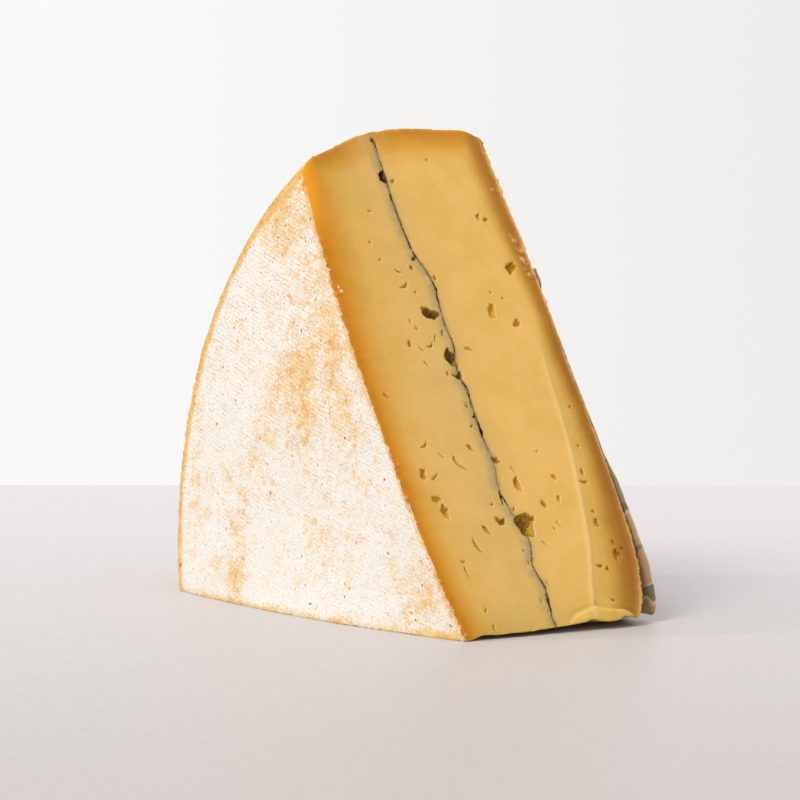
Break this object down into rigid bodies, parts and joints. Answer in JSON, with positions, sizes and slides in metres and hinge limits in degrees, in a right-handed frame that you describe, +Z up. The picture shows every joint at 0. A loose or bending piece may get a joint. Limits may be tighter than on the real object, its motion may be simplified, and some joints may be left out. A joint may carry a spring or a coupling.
{
  "type": "morbier cheese wedge",
  "caption": "Wedge of semi-soft pressed cheese lying on a cut face, with a dark ash line through its middle, a bloomed rind and a paper label on one flat side.",
  "frame": {"origin": "middle of the bounding box at the base cut, on the surface that the wedge lies on", "axes": "X along the cheese wheel's axis, from the bare flat side to the labelled one; Y from the wedge's tip towards the rim; +Z up, normal to the base cut"},
  "size_m": [0.085, 0.1822, 0.153],
  "materials": {
    "cheese": "golden cream paste with a soft satin cut face, and a dry cloth-marked rind with white bloom over orange",
    "ash": "matte blue-grey vegetable ash, thin and broken in places",
    "label_paper": "thin greasy paper, printed with plain green, tan and cream bands"
  },
  "bodies": {
    "root": {"paste": "cheese", "ash_layer": "ash", "label": "label_paper"}
  },
  "joints": []
}
